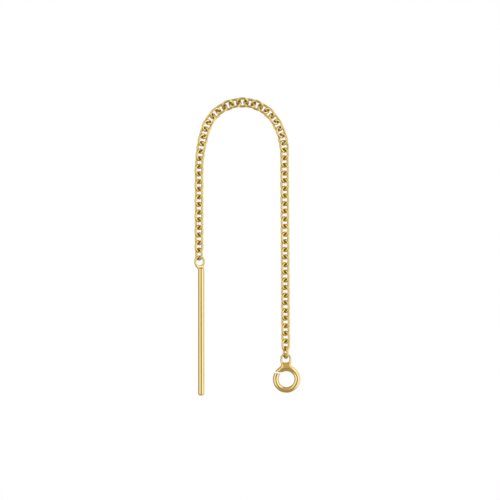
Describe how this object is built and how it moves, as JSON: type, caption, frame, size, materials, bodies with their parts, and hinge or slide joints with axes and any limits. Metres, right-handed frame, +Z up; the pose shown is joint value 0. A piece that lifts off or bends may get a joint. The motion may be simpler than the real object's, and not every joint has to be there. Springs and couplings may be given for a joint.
{
  "type": "threader earring",
  "caption": "Threader earring: a straight round bar and a small open ring on the two ends of a fine cable chain that hangs as a long arch.",
  "frame": {"origin": "middle of the chain's crown link, where the chain hangs over the edge of the piercing", "axes": "+Z up, +X across the arch towards the open ring, +Y through the arch, away from the camera"},
  "size_m": [0.0136, 0.0012, 0.038],
  "materials": {
    "gold": "polished pale yellow gold over brass"
  },
  "bodies": {
    "chain": {"chain": "gold"},
    "post": {"post": "gold"},
    "open_ring": {"open_ring": "gold"}
  },
  "joints": [
    {"name": "post_swing", "type": "hinge", "parent": "chain", "child": "post", "pos_m": [-0.00555, 0, -0.02006], "axis": [0.6428, -0.766, 0], "range_deg": [-90, 90]},
    {"name": "ring_swing", "type": "hinge", "parent": "chain", "child": "open_ring", "pos_m": [0.00553, 0, -0.03262], "axis": [0.4067, -0.9135, 0], "range_deg": [-90, 90]}
  ]
}
